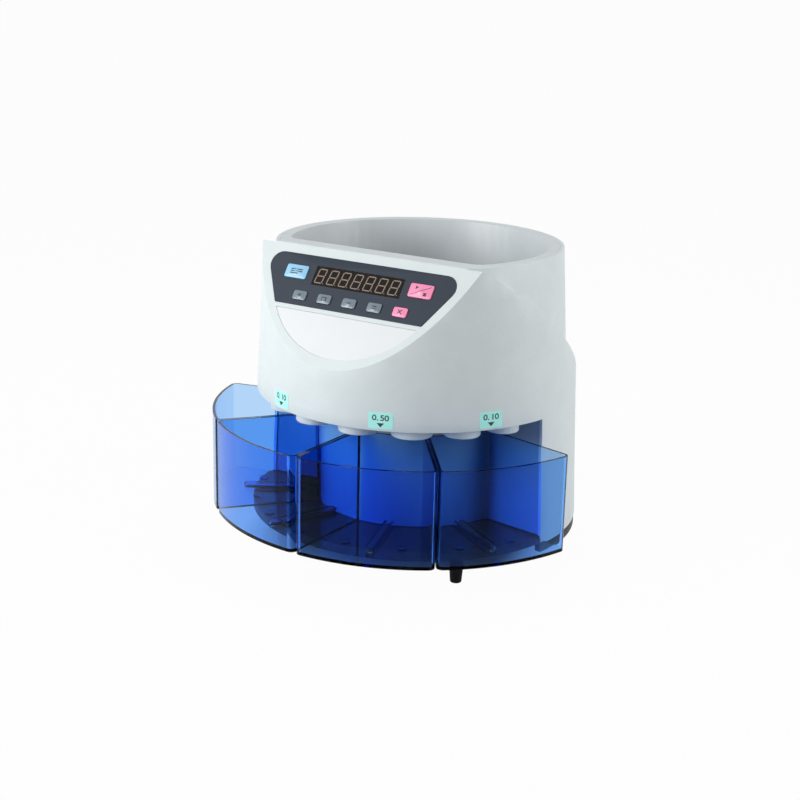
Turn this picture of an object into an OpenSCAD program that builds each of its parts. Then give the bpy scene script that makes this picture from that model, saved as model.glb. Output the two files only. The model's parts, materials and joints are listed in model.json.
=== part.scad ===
// Counter-top coin sorter: a round housing with a slanted control panel and a D-shaped hopper stands on a dark
// base. Coins drop from a spinning disc through graded slots and eight chutes into four drawers round a column.
// Angles are counted from the front of the machine, positive to its right; the panel has its own frame.

/* [Housing] */
// Radius of the housing at its lower front rim
body_r = 142.8; // [132:0.2:154]
// Height of the lower front rim above the table
body_low_z = 142; // [134:1:150]
// Height of the hopper rim and the ridge above the table
rim_z = 273.5; // [266:0.5:282]
// Growth of the housing's radius for each millimetre downwards
body_draft = 0.042; // [0.02:0.002:0.06]
// Wall thickness of the housing
wall = 2.6; // [2:0.1:3.2]
// Distance of the ridge in front of the axis
ridge_front = 81; // [77:0.5:85]
// Lean of the control panel from the vertical, in degrees
panel_lean = 34.6; // [31:0.2:38]
// Fall of the rear slope from the horizontal, in degrees
rear_fall = 36; // [30:0.5:40]
// Angle between the last drawer and the housing's side edge
bay_margin = 3.5; // [2.5:0.1:6]
// Thickness of the stiffening ribs that press on the sorting ring
rib_t = 2.5; // [1.5:0.1:4]

/* [Hopper] */
// Outer radius of the hopper tube at the rim
hopper_r = 126; // [122:0.5:129]
// Growth of the hopper tube's radius for each millimetre downwards
hopper_draft = 0.065; // [0.03:0.005:0.07]
// Width of the housing's own lip outside the bowl's flange
lip_w = 3; // [2:0.1:4]
// Inner radius of the bowl
bowl_r = 114; // [108:0.5:115]
// Distance of the bowl's straight front wall in front of the axis
bowl_front = 62; // [54:0.5:66]
// Corner radius between the straight front wall and the round wall
bowl_corner = 16; // [8:0.5:24]
// Wall thickness of the bowl
bowl_wall = 2.2; // [1.5:0.1:3]
// Thickness of the bowl's flange
flange_t = 2.5; // [1.5:0.1:4]
// Thickness of the housing's shelf under the flange
shelf_t = 3.5; // [2:0.1:5]
// Radius of the bowl's lower mouth
bowl_low_r = 100; // [92:0.5:103]
// Height of the funnel at the foot of the bowl
funnel_h = 31; // [20:1:45]
// Width of the step between the funnel and the bowl's walls
funnel_step = 0.6; // [0.3:0.1:2]

/* [Drawers] */
// Outer radius of the drawers
drawer_r = 183; // [170:0.5:196]
// Inner radius of the drawers
drawer_in_r = 89; // [84:0.5:92]
// Height of the drawers
drawer_h = 83.5; // [70:0.5:90]
// Angle that each drawer takes up
drawer_pitch = 38.5; // [36:0.1:39]
// Gap between two drawers
drawer_gap = 0.8; // [0.4:0.1:2]
// Wall thickness of the drawers
drawer_wall = 2.4; // [1.6:0.1:3.2]
// Corner radius of the drawers' outer corners
drawer_corner = 6; // [4:0.5:12]
// Diameter of the two round pips on each drawer's floor
pip_d = 8.5; // [5:0.5:12]
// Width of the guide rails on the base
rail_w = 3.2; // [2.4:0.1:6]
// Height of the guide rails
rail_h = 4.2; // [3:0.1:6]

/* [Base and column] */
// Height of the rubber feet
foot_h = 22; // [16:0.5:26]
// Radius of a foot at its top
foot_r = 6.7; // [6.2:0.1:9]
// Distance of the feet from the axis
foot_place_r = 118.5; // [110:0.5:128]
// Height of the base plate's skirt
base_h = 16.5; // [12:0.5:20]
// Height of the skirt in front, under the drawers
skirt_front_h = 8; // [4:0.5:12]
// Thickness of the base plate
base_t = 3; // [2:0.1:4]
// Height of the base's rim under the housing
base_rim_h = 9; // [6:0.5:12]
// Step of the base outside the housing's lower edge
base_step = -0.4; // [-1:0.1:4]
// Wall thickness of the centre column and its partitions
column_wall = 2.5; // [1.5:0.1:4]

/* [Sorting unit] */
// Height of the deck's underside above the lower front rim
deck_rise = 31; // [26:0.5:36]
// Thickness of the deck
deck_t = 3; // [2.6:0.1:4]
// Thickness of the sorting ring
ring_t = 2; // [1:0.1:2.4]
// Outer diameter of the large coin chutes
chute_od = 35; // [30:0.5:36]
// Fall of the diameter from one chute to the next at the right end
chute_fall = 3.4; // [0:0.1:4]
// Wall thickness of the coin chutes
chute_wall = 1.8; // [1:0.1:2.5]
// Length of the chutes below the lower front rim
chute_drop = 8; // [4:0.5:12]
// Width of the smallest coin slot
slot_small = 17; // [15:0.5:19]
// Width of the largest coin slot
slot_large = 26.5; // [21:0.5:27]
// Diameter of the spindle
spindle_d = 8; // [6:0.5:10]
// Tooth module of the drive gears
gear_module = 1.5; // [1.2:0.1:1.6]
// Teeth of the gear on the spindle
gear_teeth = 48; // [44:1:50]
// Teeth of the pinion on the motor
pinion_teeth = 16; // [14:1:18]
// Diameter of the motor
motor_d = 48; // [40:1:52]
// Height of the motor
motor_h = 58; // [40:1:64]

/* [Control panel] */
// Width of the display window
window_w = 88.4; // [80:0.2:94]
// Height of the display window
window_h = 17.2; // [14:0.2:19]
// Size of the two large keys
key_large = [22.2, 12]; // [8:0.2:24]
// Size of the small keys
key_small = [13.4, 8.2]; // [6:0.2:15]
// Distance of the large keys from the middle of the panel
key_large_u = 62.7; // [60:0.1:66]
// Distance between two small keys
key_pitch = 25.3; // [22:0.1:27]
// Height of the keys above the panel
key_proud = 1.2; // [0.6:0.1:2]
// Travel of the keys
key_travel = 0.6; // [0.3:0.05:0.8]

/* [Clearances] */
// Clearance of fixed pieces in their recesses
seat_gap = 0.2; // [0.1:0.05:0.3]
// Clearance of pieces that move past each other
move_gap = 0.4; // [0.3:0.05:0.6]
// Radial clearance of shafts and screws in their holes
shaft_gap = 0.05; // [0.02:0.01:0.1]

/* [Hidden] */
$fn = 96;
// Length beyond everything, and the length by which a cut runs past a face
far = 600;
cut = 1;

// Names of the keys, from the first to the last along the panel
KEY_NAMES = ["mode_key", "grey_key_1", "grey_key_2", "grey_key_3", "grey_key_4", "clear_key", "start_stop_key"];
drawer_count = 4;
chute_count = 8;
chute_angles = [-69, -50.5, -31.5, -11.5, 9.5, 31, 50.5, 68];
large_chutes = 6;
foot_angles = [51, -51, -135, 135];

// Heights of the base and of the pieces that stand on it
base_top_z = foot_h + base_h;
drawer_z = base_top_z + move_gap;
deck_z = body_low_z + deck_rise;
deck_top_z = deck_z + deck_t;
ring_top_z = deck_top_z + ring_t;

// The hopper tube leaves room for the bowl, a narrow seat for its flange and the lip
bowl_room = bowl_wall + seat_gap;
flange_seat = 1.5;
tube_r = max(hopper_r, bowl_r + bowl_room + flange_seat + lip_w);

// Radii of the two tapered forms of the housing at a height
function body_r_at(z) = body_r + body_draft * (body_low_z - z);
function hopper_r_at(z) = tube_r + hopper_draft * (rim_z - z);

// The rear slope starts just under the rim, and the hopper tube reaches below the slope's lowest place
slope_step = 0.8;
hopper_sink = 10;
hopper_low_z = rim_z - tan(rear_fall) * (ridge_front + body_r) - hopper_sink;

seam_z = foot_h + base_rim_h;
base_r = body_r_at(seam_z) + base_step;
base_plate_r = body_r_at(base_top_z) - wall - seat_gap;
axis_y = (drawer_r - max(base_r, body_r_at(seam_z))) / 2;
bay_half = drawer_count * drawer_pitch / 2 + bay_margin;
bay_gap = 0.2;
column_r = drawer_in_r - 3 * move_gap;
partition_angle = bay_half + 1;

// The sorting unit from the chutes inwards
chute_out_r = body_r_at(deck_z) - wall - move_gap;
function chute_d(k) = chute_od - max(0, k - large_chutes) * chute_fall;
function chute_r(k) = chute_out_r - chute_d(k) / 2;
disc_edge = 1;
disc_r = chute_out_r - chute_od - disc_edge;
disc_t = 1.6;
disc_z = deck_top_z + move_gap;
disc_top_z = disc_z + disc_t;
flight_h = 2;
flight_t = 2.2;
flight_root = 4;
dome_h = 10;
dome_r = 34;
bowl_rise = 4;
bowl_low_z = disc_top_z + flight_h + bowl_rise;
flange_z = rim_z - flange_t;
shelf_z = flange_z - shelf_t;
flange_corner = 4;
rib_h = 20;
deck_wide_y = 30;
slot_len = 18;
sensor_size = [12, 8, 10];

// Spindle, bearings and gear train under the deck
bearing_h = 8;
bearing_wall = 4;
hub_wall = 5;
hub_h = 23;
hub_z = deck_z - hub_h;
hub_r = spindle_d / 2 + bearing_wall + hub_wall;
hub_ledge = 1.5;
nut_h = 9;
nut_cap_h = 4;
nut_r = 7.2;
nut_dome_r = 6;
nut_dome_round = 8.4;
spindle_tail = 2;
gear_t = 8;
gear_gap = 1;
gear_z = hub_z - gear_gap - gear_t;
tooth_play = 0.25;
motor_y = gear_module * (gear_teeth + pinion_teeth) / 2 + tooth_play;
motor_shaft_d = 5;
plate_t = 3;
plate_drop = 5;
plate_top_z = gear_z - plate_drop;
motor_top_z = plate_top_z - plate_t;
motor_boss_r = 8;
motor_boss_h = 2;
motor_post_r = 4;
motor_post_x = gear_module * (gear_teeth + 2) / 2 - motor_post_r;
motor_post_y = [-14, 24];
motor_plate_edge = 6;
motor_screw_x = motor_d / 2 - 8;
motor_screw_depth = 6;
motor_end_d = 29;
motor_end_h = 4;
shaft_depth = 15;
shaft_tip = 1;

// Frame of the panel: u to the right, v down from the ridge, w out of the face
panel_t = wall + 0.4;
panel_cut = 5;
overlay_t = 0.8;
overlay_sink = 0.5;
overlay_top = 8.5;
overlay_bottom = 54.7;
overlay_top_half = 101.5;
overlay_bottom_half = 73.8;
overlay_corner = 11;
overlay_low_corner = 2;
plate_gap = 4.1;
plate_sink = 0.9;
plate_film = 0.6;
plate_top_v = overlay_bottom + plate_gap;
plate_bottom_v = 96;
plate_half = 70.5;
plate_sag = plate_bottom_v - plate_top_v;
plate_round = (plate_half * plate_half + plate_sag * plate_sag) / (2 * plate_sag);
window_v = 25.8;
window_t = 2;
window_ledge = 2;
key_large_v = 25.3;
key_small_v = 46;
key_corner = 1.6;
key_flange = 1.5;
key_flange_t = 1.5;
key_rest = 0.1;
key_stem = 5;
key_stem_d = 4;
key_stem_root = 0.5;
key_stem_end = -panel_t - key_rest - key_flange_t - key_stem;
switch_h = 2.6;
switch_size = 6;
plunger_h = 0.8;
plunger_d = 3.5;
board_w = key_stem_end - key_travel - key_rest - switch_h;
board_t = 1.6;
board_half = 72;
board_top_v = 10;
board_bottom_v = 53;
board_post_r = 3;
board_post_u = board_half - 5;
board_post_v = [board_top_v + 4, board_bottom_v - 7];
board_post_root = 1;
board_pilot = 7;
module_gap = 1;
module_inset = [2, 1];

// Recess at the rear for the mains inlet and the switch
rear_w = 78;
rear_h = 40;
rear_z = 78;
rear_rim = 2;
rear_seat_t = 2.5;
rear_plate_t = 2.5;
rear_seat_w = 6;
rear_sill = 3;
rear_depth = 17;
rear_y = body_r_at(rear_z) - rear_depth;
rear_plate_y = rear_y + rear_seat_t;
rear_face_y = rear_plate_y + rear_plate_t;
inlet_x = 15;
inlet_size = [27, 19.6];
inlet_flange = 2;
inlet_mouth = [24, 16.2];
inlet_chamfer = 4.5;
inlet_depth = 16;
inlet_back = 4;
pin_size = [2, 14, 4];
pin_places = [[-7, -2], [0, 2], [7, -2]];
switch_x = -17;
switch_body = [13, 19];
switch_flange = 1.5;
switch_depth = 14;
rocker_size = [9.4, 14.8];
rocker_room = [1, 2.4];
rocker_tilt = 7;
rocker_axle_depth = 3.5;
rocker_pocket = 11;
rocker_back = [3, 5];
rocker_tips = [5, 4];
axle_d = 3;
axle_end = 0.4;

// Transformer and power board on the base, behind the column
transformer_place = [-66, 66];
core_size = [50, 40, 42];
core_foot = [7, 6, 2];
coil_inset = [9, 5, 8];
power_place = [66, 66];
power_size = [60, 50];
power_post_d = 6;
power_post_h = 6;
power_post_in = 5;
can_places = [[-14, 8], [8, 8]];
can_size = [14, 22];
sink_place = [-20, -18];
sink_size = [34, 6, 20];

// Screws: shaft diameter, head diameter, head height
screw_m4 = [4, 7, 2.4];
screw_m3 = [2.6, 5.4, 1.8];
housing_boss_r = 4.5;
housing_screw_angles = [105, 150, -105, -150];
boss_bite = 0.85;
housing_screw_r = body_r_at(base_top_z) - wall - housing_boss_r + boss_bite;
housing_boss_h = 20;
housing_pilot_h = 16;
housing_screw_end = 14;
deck_screw_angles = [25, 62, -25, -62];
deck_boss_r = 4;
deck_boss_h = 24;
deck_pilot_h = 18;
deck_screw_end = 12;
deck_screw_r = column_r - column_wall - deck_boss_r + boss_bite;
deck_leg_place = [62, 104];
deck_leg_r = 6;
rib_angles = [40, 86, -40, -86];

// Feet, pips on the drawers' floors and rail ends
foot_taper = 1.8;
foot_boss_wall = 2;
foot_roof = 2.5;
pip_h = 1.2;
pip_inset = 39.5;
pip_angle = drawer_pitch / 4;
rail_ends = [6, 3.5];

// Places things at the machine's axis, which lies behind the middle of the part
module at_axis() {
    translate([0, axis_y, 0]) children();
}

// Places things at an angle from the front and a distance from the axis
module polar(angle, r) {
    rotate([0, 0, angle]) translate([0, -r, 0]) children();
}

// Places things on the panel: x along u, y up the panel, z out of its face
module on_panel() {
    at_axis() translate([0, -ridge_front, rim_z]) rotate([90 - panel_lean, 0, 0]) children();
}

// Places things at a point of the panel
module at_panel(u, v, w) {
    on_panel() translate([u, -v, w]) children();
}

// A front sector that reaches the same angle to both sides
module front_sector(half_angle) {
    edge = [far * sin(half_angle), -far * cos(half_angle)];
    polygon([[0, 0], edge, [far, -far], [-far, -far], [-edge[0], edge[1]]]);
}

// A block centred on the place where it stands
module block(size, z = 0) {
    translate([-size[0] / 2, -size[1] / 2, z]) cube(size);
}

// A screw that points up, with its head's outer face at the origin
module screw_up(size, length) {
    cylinder(d = size[1], h = size[2]);
    cylinder(d = size[0], h = size[2] + length);
}

// Points of a polygon with rounded corners
function unit(v) = v / norm(v);
function corner_arc(a, p, b, r, n) =
    let (to_a = unit(a - p), to_b = unit(b - p), half = acos(to_a * to_b) / 2,
         centre = p + unit(to_a + to_b) * r / sin(half),
         start = p + to_a * r / tan(half) - centre, turn = 180 - 2 * half,
         side = sign(to_b[0] * to_a[1] - to_b[1] * to_a[0]))
    [for (i = [0:n]) let (t = side * turn * i / n)
        centre + [start[0] * cos(t) - start[1] * sin(t), start[0] * sin(t) + start[1] * cos(t)]];
function round_points(points, radii, n = 6) =
    let (m = len(points))
    [for (i = [0:m - 1]) each
        corner_arc(points[(i + m - 1) % m], points[i], points[(i + 1) % m], radii[i], n)];

module round_rect(size, r) {
    x = size[0] / 2;
    y = size[1] / 2;
    polygon(round_points([[x, y], [-x, y], [-x, -y], [x, -y]], [r, r, r, r]));
}

// A slot that runs forward from one distance to a round end at another
module radial_slot(w, r_start, r_end) {
    translate([-w / 2, -r_end]) square([w, r_end - r_start]);
    translate([0, -r_end]) circle(d = w);
}

// A round plan with a straight front and rounded corners between the two; the corner circles cross both
// by a small bite, so that no two curves just touch
module d_shape(r, front, corner) {
    bite = 0.1;
    cy = corner - front - bite;
    cx = sqrt(pow(r + bite - corner, 2) - cy * cy);
    reach = (r + 2 * cut) / (r - corner);
    difference() {
        circle(r);
        translate([-far, -far - front]) square([2 * far, far]);
        for (s = [-1, 1]) difference() {
            polygon([[s * cx, cy], [s * cx, -front - cut], [s * (cx + r), -front - cut],
                     [s * cx * reach, cy * reach]]);
            translate([s * cx, cy]) circle(corner);
        }
    }
}

// The space behind the panel's face and under the rear slope, drawn in by a distance
module behind_panel(inset) {
    translate([0, -ridge_front, rim_z]) rotate([90 - panel_lean, 0, 0])
        translate([-far, -far, -2 * far - inset]) cube(2 * far);
}
module under_slope(inset) {
    translate([0, -ridge_front, rim_z - slope_step]) rotate([-rear_fall, 0, 0])
        translate([-far, -far, -2 * far - inset]) cube(2 * far);
}

// A tapered round form between two heights
module taper(r_low, r_top, low_z, top_z) {
    translate([0, 0, low_z]) cylinder(r1 = r_low, r2 = r_top, h = top_z - low_z);
}

// The housing's outer form, drawn in by a distance
module housing_form(inset, low_z, top_z) {
    intersection() {
        taper(body_r_at(low_z) - inset, body_r_at(top_z) - inset, low_z, top_z);
        union() {
            under_slope(inset);
            taper(hopper_r_at(hopper_low_z) - inset, hopper_r_at(top_z) - inset, hopper_low_z, top_z);
        }
        behind_panel(inset);
    }
}

// Shapes of the panel's openings and film pieces
function key_place(i) = i == 0 ? [-key_large_u, key_large_v] :
    i == len(KEY_NAMES) - 1 ? [key_large_u, key_large_v] : [(i - 3) * key_pitch, key_small_v];
function key_size(i) = i == 0 || i == len(KEY_NAMES) - 1 ? key_large : key_small;

module overlay_plan(grow) {
    top_x = overlay_top_half + grow;
    low_x = overlay_bottom_half + grow;
    top_y = grow - overlay_top;
    low_y = -overlay_bottom - grow;
    polygon(round_points([[top_x, top_y], [-top_x, top_y], [-low_x, low_y], [low_x, low_y]],
                         [overlay_corner, overlay_corner, overlay_low_corner, overlay_low_corner]));
}
module name_plate_plan(grow) {
    intersection() {
        translate([0, plate_round - plate_bottom_v]) circle(plate_round + grow);
        translate([-far, -far]) square([2 * far, far - plate_top_v + grow]);
    }
}
module key_plan(i, grow) {
    translate([key_place(i)[0], -key_place(i)[1]])
        round_rect(key_size(i) + [2 * grow, 2 * grow], key_corner + grow);
}
module window_plan(grow) {
    translate([0, -window_v]) square([window_w + 2 * grow, window_h + 2 * grow], center = true);
}

module panel_cuts() {
    on_panel() {
        translate([0, 0, -overlay_sink]) linear_extrude(panel_cut) overlay_plan(seat_gap);
        translate([0, 0, -plate_sink]) linear_extrude(panel_cut) name_plate_plan(seat_gap);
        translate([0, 0, -panel_t - cut]) linear_extrude(panel_t + 2 * cut) {
            for (i = [0:len(KEY_NAMES) - 1]) key_plan(i, move_gap);
            window_plan(-window_ledge);
        }
        translate([0, 0, -overlay_sink - window_t]) linear_extrude(panel_cut) window_plan(seat_gap);
    }
}

module board_posts() {
    for (s = [-1, 1], v = board_post_v)
        at_panel(s * board_post_u, v, board_w) difference() {
            cylinder(r = board_post_r, h = -board_w - board_post_root);
            translate([0, 0, -cut]) cylinder(d = screw_m3[0] + 2 * shaft_gap, h = board_pilot + cut);
        }
}

module rear_recess_block() {
    translate([-rear_w / 2 - rear_rim, rear_y, rear_z - rear_h / 2 - rear_rim])
        cube([rear_w + 2 * rear_rim, far, rear_h + 2 * rear_rim]);
}
module rear_recess_cuts() {
    translate([-rear_w / 2, rear_plate_y, rear_z - rear_h / 2]) cube([rear_w, far, rear_h]);
    translate([-rear_w / 2 + rear_seat_w, rear_y - cut, rear_z - rear_h / 2 + rear_sill])
        cube([rear_w - 2 * rear_seat_w, far, rear_h - 2 * rear_sill]);
    for (s = [-1, 1])
        translate([s * (rear_w - rear_seat_w) / 2, rear_y - cut, rear_z]) rotate([-90, 0, 0])
            cylinder(d = screw_m3[0] + 2 * shaft_gap, h = rear_seat_t + 2 * cut);
}

module housing_inside() {
    difference() {
        housing_form(wall, seam_z - cut, shelf_z);
        for (a = housing_screw_angles) polar(a, housing_screw_r) translate([0, 0, base_top_z])
            cylinder(r = housing_boss_r, h = housing_boss_h);
        for (a = rib_angles) rotate([0, 0, a])
            translate([-rib_t / 2, -far, ring_top_z]) cube([rib_t, far - chute_out_r + chute_od / 4, rib_h]);
        rear_recess_block();
    }
}

module main_housing() {
    color("gainsboro") {
        difference() {
            at_axis() difference() {
                housing_form(0, seam_z, rim_z);
                housing_inside();
                translate([0, 0, flange_z]) linear_extrude(far)
                    d_shape(tube_r - lip_w, ridge_front - lip_w, flange_corner);
                translate([0, 0, shelf_z - cut]) linear_extrude(far)
                    d_shape(bowl_r + bowl_room, bowl_front + bowl_room, bowl_corner + bowl_wall);
                translate([0, 0, -cut]) linear_extrude(body_low_z + cut) front_sector(bay_half);
                for (a = housing_screw_angles) polar(a, housing_screw_r) translate([0, 0, base_top_z - cut])
                    cylinder(d = screw_m4[0] + 2 * shaft_gap, h = housing_pilot_h + cut);
                rear_recess_cuts();
            }
            panel_cuts();
        }
        board_posts();
    }
}

module hopper_bowl() {
    color("lightgray") at_axis() difference() {
        union() {
            bowl_form(bowl_wall);
            translate([0, 0, flange_z]) linear_extrude(flange_t)
                d_shape(tube_r - lip_w - seat_gap, ridge_front - lip_w - seat_gap, flange_corner);
        }
        bowl_form(0);
    }
}
// The bowl's form, grown by a distance: straight walls stand on a small step over the funnel
module bowl_form(grow) {
    past = grow > 0 ? 0 : cut;
    low = bowl_low_z - past;
    top = rim_z + past;
    upper_r = bowl_r + bowl_wall + cut;
    step_z = bowl_low_z + funnel_h;
    step_r = bowl_r - funnel_step;
    intersection() {
        rotate_extrude()
            polygon([[0, low], [bowl_low_r + grow, low], [bowl_low_r + grow, bowl_low_z],
                     [step_r + grow, step_z], [upper_r, step_z], [upper_r, top], [0, top]]);
        translate([0, 0, low]) linear_extrude(top - low)
            d_shape(bowl_r + grow, bowl_front + grow, bowl_corner + grow);
    }
}

// Plan of the column's front wall and the two partitions that close the bay
module column_plan() {
    intersection() {
        difference() {
            circle(column_r);
            circle(column_r - column_wall);
        }
        front_sector(partition_angle);
    }
    for (s = [-1, 1]) rotate([0, 0, s * partition_angle]) translate([-column_wall / 2, -base_r])
        square([column_wall, base_r - column_r + column_wall + cut]);
}
module center_column() {
    inset = wall + move_gap;
    color("lightgray") at_axis() difference() {
        union() {
            intersection() {
                translate([0, 0, base_top_z]) linear_extrude(deck_z - base_top_z) column_plan();
                taper(body_r_at(foot_h) - inset, body_r_at(rim_z) - inset, foot_h, rim_z);
            }
            for (a = deck_screw_angles) polar(a, deck_screw_r) translate([0, 0, deck_z - deck_boss_h])
                cylinder(r = deck_boss_r, h = deck_boss_h);
        }
        for (a = deck_screw_angles) polar(a, deck_screw_r) translate([0, 0, deck_z - deck_pilot_h])
            cylinder(d = screw_m3[0] + 2 * shaft_gap, h = deck_pilot_h + cut);
        sensor_boxes(move_gap);
    }
}

// The base: a rim under the housing, a plate inside its wall, and a shallow skirt in front
module base_form() {
    translate([0, 0, foot_h]) cylinder(r = base_r, h = base_rim_h);
    translate([0, 0, foot_h]) cylinder(r = base_plate_r, h = base_h);
    translate([0, 0, foot_h]) linear_extrude(base_h) intersection() {
        circle(base_r);
        front_sector(bay_half - bay_gap);
    }
}
module base_plate() {
    color("dimgray") at_axis() difference() {
        union() {
            difference() {
                base_form();
                translate([0, 0, foot_h - cut]) linear_extrude(base_h - base_t + cut) {
                    circle(base_plate_r - base_t);
                    for (a = housing_screw_angles) polar(a, housing_screw_r) circle(d = screw_m4[1] + 2 * seat_gap);
                }
                translate([0, 0, foot_h - cut]) linear_extrude(base_h - skirt_front_h + cut)
                    front_sector(bay_half);
            }
            for (a = foot_angles) polar(a, foot_place_r) translate([0, 0, foot_h])
                cylinder(r = foot_r + foot_boss_wall, h = base_h - base_t / 2);
            translate([0, 0, base_top_z - base_t / 2]) linear_extrude(rail_h + base_t / 2)
                for (k = [1:drawer_count]) rotate([0, 0, drawer_angle(k)])
                    radial_slot(rail_w, column_r + rail_ends[0], base_r - rail_w / 2 - rail_ends[1]);
        }
        for (a = foot_angles) polar(a, foot_place_r) translate([0, 0, foot_h - cut])
            cylinder(d = screw_m4[0] + 2 * shaft_gap, h = base_h - foot_roof + cut);
        for (a = housing_screw_angles) polar(a, housing_screw_r)
            cylinder(d = screw_m4[0] + 2 * shaft_gap, h = far);
    }
}

function drawer_angle(k) = (k - (drawer_count + 1) / 2) * drawer_pitch;
groove_w = rail_w + 3 * move_gap;
groove_h = rail_h + move_gap;
channel_wall = 1.6;
channel_w = groove_w + 2 * channel_wall;
channel_h = groove_h + channel_wall;
channel_over = 6;
channel_end_r = base_r + channel_over;

// Plan of a drawer that points forward, drawn in by a distance
module drawer_plan(inset) {
    r = drawer_r - inset;
    side = drawer_gap / 2 + inset;
    corner = drawer_corner - inset;
    cx = side + corner;
    cy = -sqrt(pow(r - corner, 2) - cx * cx);
    reach = (r + 2 * cut) / (r - corner);
    difference() {
        intersection() {
            circle(r);
            rotate([0, 0, drawer_pitch / 2]) translate([-2 * far - side, -far]) square(2 * far);
            rotate([0, 0, -drawer_pitch / 2]) translate([side, -far]) square(2 * far);
        }
        circle(drawer_in_r + inset);
        for (s = [-1, 1]) rotate([0, 0, s * drawer_pitch / 2])
            polygon([[-s * cx, cy], [s * cut, cy], [s * cut, -r - 2 * cut], [-s * cx * reach, cy * reach]]);
    }
    for (s = [-1, 1]) rotate([0, 0, s * drawer_pitch / 2]) translate([-s * cx, cy]) circle(corner);
}

module coin_drawer(k) {
    color("royalblue") at_axis() rotate([0, 0, drawer_angle(k)]) translate([0, 0, drawer_z]) difference() {
        union() {
            difference() {
                linear_extrude(drawer_h) drawer_plan(0);
                translate([0, 0, drawer_wall]) linear_extrude(drawer_h) drawer_plan(drawer_wall);
            }
            linear_extrude(channel_h) radial_slot(channel_w, drawer_in_r + drawer_wall / 4, channel_end_r);
            for (s = [-1, 1]) polar(s * pip_angle, drawer_r - pip_inset) translate([0, 0, drawer_wall / 2])
                cylinder(d = pip_d, h = drawer_wall / 2 + pip_h);
        }
        translate([0, 0, -cut]) linear_extrude(groove_h + cut)
            radial_slot(groove_w, drawer_in_r - 2 * drawer_wall, channel_end_r);
    }
}

// Places things at a chute
module at_chute(k) {
    polar(chute_angles[k - 1], chute_r(k)) children();
}
module coin_chute(k) {
    color("gainsboro") at_axis() at_chute(k) translate([0, 0, body_low_z - chute_drop]) difference() {
        cylinder(d = chute_d(k), h = deck_z - body_low_z + chute_drop);
        translate([0, 0, -cut]) cylinder(d = chute_d(k) - 2 * chute_wall, h = far);
    }
}

module rubber_foot(k) {
    color("black") at_axis() polar(foot_angles[k - 1], foot_place_r) difference() {
        cylinder(r1 = foot_r - foot_taper, r2 = foot_r, h = foot_h);
        translate([0, 0, -cut]) cylinder(d = screw_m4[0] + 2 * shaft_gap, h = foot_h + 2 * cut);
        translate([0, 0, -cut]) cylinder(d = screw_m4[1] + 2 * seat_gap, h = foot_h / 2 + cut);
    }
}

module panel_overlay() {
    color("darkslategray") on_panel() translate([0, 0, -overlay_sink]) linear_extrude(overlay_t) difference() {
        overlay_plan(0);
        window_plan(seat_gap);
        for (i = [0:len(KEY_NAMES) - 1]) key_plan(i, move_gap);
    }
}
module display_window() {
    color("black") on_panel() translate([0, 0, -overlay_sink - window_t])
        linear_extrude(window_t + overlay_sink) window_plan(0);
}
module name_plate() {
    color("white") on_panel() translate([0, 0, -plate_sink]) linear_extrude(plate_film) name_plate_plan(0);
}

// A key: cap through the panel, flange behind it, stem down to its switch
module panel_key(i) {
    flange_top = -panel_t - key_rest;
    tint = i == 0 ? "lightskyblue" : i < 5 ? "slategray" : "hotpink";
    color(tint) {
        on_panel() {
            translate([0, 0, flange_top]) linear_extrude(key_proud - flange_top) key_plan(i, 0);
            translate([0, 0, flange_top - key_flange_t]) linear_extrude(key_flange_t) key_plan(i, key_flange);
        }
        at_panel(key_place(i)[0], key_place(i)[1], key_stem_end)
            cylinder(d = key_stem_d, h = key_stem + key_stem_root);
    }
}

module control_board() {
    color("darkgreen") difference() {
        on_panel() translate([-board_half, -board_bottom_v, board_w - board_t])
            cube([2 * board_half, board_bottom_v - board_top_v, board_t]);
        for (s = [-1, 1], v = board_post_v) at_panel(s * board_post_u, v, board_w - board_t - cut)
            cylinder(d = screw_m3[0] + 2 * shaft_gap, h = board_t + 2 * cut);
    }
}
module display_module() {
    size = [window_w, window_h] - 2 * module_inset;
    color("black") on_panel() translate([-size[0] / 2, -window_v - size[1] / 2, board_w])
        cube([size[0], size[1], -panel_t - module_gap - board_w]);
}
module key_switches() {
    color("black") for (i = [0:len(KEY_NAMES) - 1])
        at_panel(key_place(i)[0], key_place(i)[1], board_w) {
            block([switch_size, switch_size, switch_h - plunger_h]);
            cylinder(d = plunger_d, h = switch_h);
        }
}
module board_screws() {
    color("silver") for (s = [-1, 1], v = board_post_v)
        at_panel(s * board_post_u, v, board_w - board_t - screw_m3[2])
            screw_up(screw_m3, board_t + board_pilot - cut);
}

// Plan of the deck: round behind, wider in front where the chutes hang
module deck_plan(inset) {
    circle(min(hopper_r_at(ring_top_z), body_r_at(ring_top_z)) - wall - 2 * move_gap - inset);
    intersection() {
        circle(body_r_at(ring_top_z) - wall - move_gap / 2 - inset);
        translate([-far, -far]) square([2 * far, far + deck_wide_y]);
    }
}

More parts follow.
